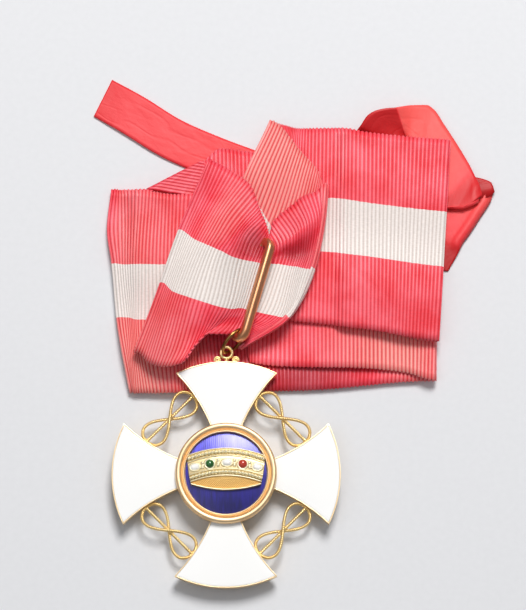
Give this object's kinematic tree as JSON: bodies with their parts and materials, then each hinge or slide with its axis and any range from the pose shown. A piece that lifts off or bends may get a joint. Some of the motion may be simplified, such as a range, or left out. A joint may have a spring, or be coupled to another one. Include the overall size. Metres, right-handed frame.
{
  "type": "order neck badge",
  "caption": "Enamelled cross badge with a jewelled circlet on a blue centre, hung by a ring and a long loop from a folded, striped silk neck ribbon with tie tapes, lying on its back.",
  "frame": {"origin": "centre of the flat back face of the cross's hub, on the surface that the badge lies on", "axes": "+Y from the cross up towards its ribbon, +X to the right seen from the front, +Z out of the front face, up from the surface"},
  "size_m": [0.094, 0.1214, 0.0098],
  "materials": {
    "gilt_metal": "polished gilt",
    "white_enamel": "polished enamel",
    "blue_enamel": "translucent enamel over fine vertical lines",
    "green_enamel": "polished enamel drop",
    "red_enamel": "polished enamel drop",
    "ribbed_silk": "ribbed silk, white middle stripe",
    "woven_tape": "plain woven tape"
  },
  "bodies": {
    "root": {"cross_frame": "gilt_metal", "arm_enamel_top": "white_enamel", "arm_enamel_right": "white_enamel", "arm_enamel_bottom": "white_enamel", "arm_enamel_left": "white_enamel", "medallion_rim": "gilt_metal", "medallion_enamel": "blue_enamel", "crown": "gilt_metal", "pearl_left": "white_enamel", "pearl_middle": "white_enamel", "pearl_right": "white_enamel", "green_drop": "green_enamel", "red_drop": "red_enamel", "jump_ring": "gilt_metal", "ribbon_loop": "gilt_metal", "neck_ribbon": "ribbed_silk", "turned_corner": "ribbed_silk", "tie_tape_left": "woven_tape", "tie_tape_right": "woven_tape"}
  },
  "joints": []
}
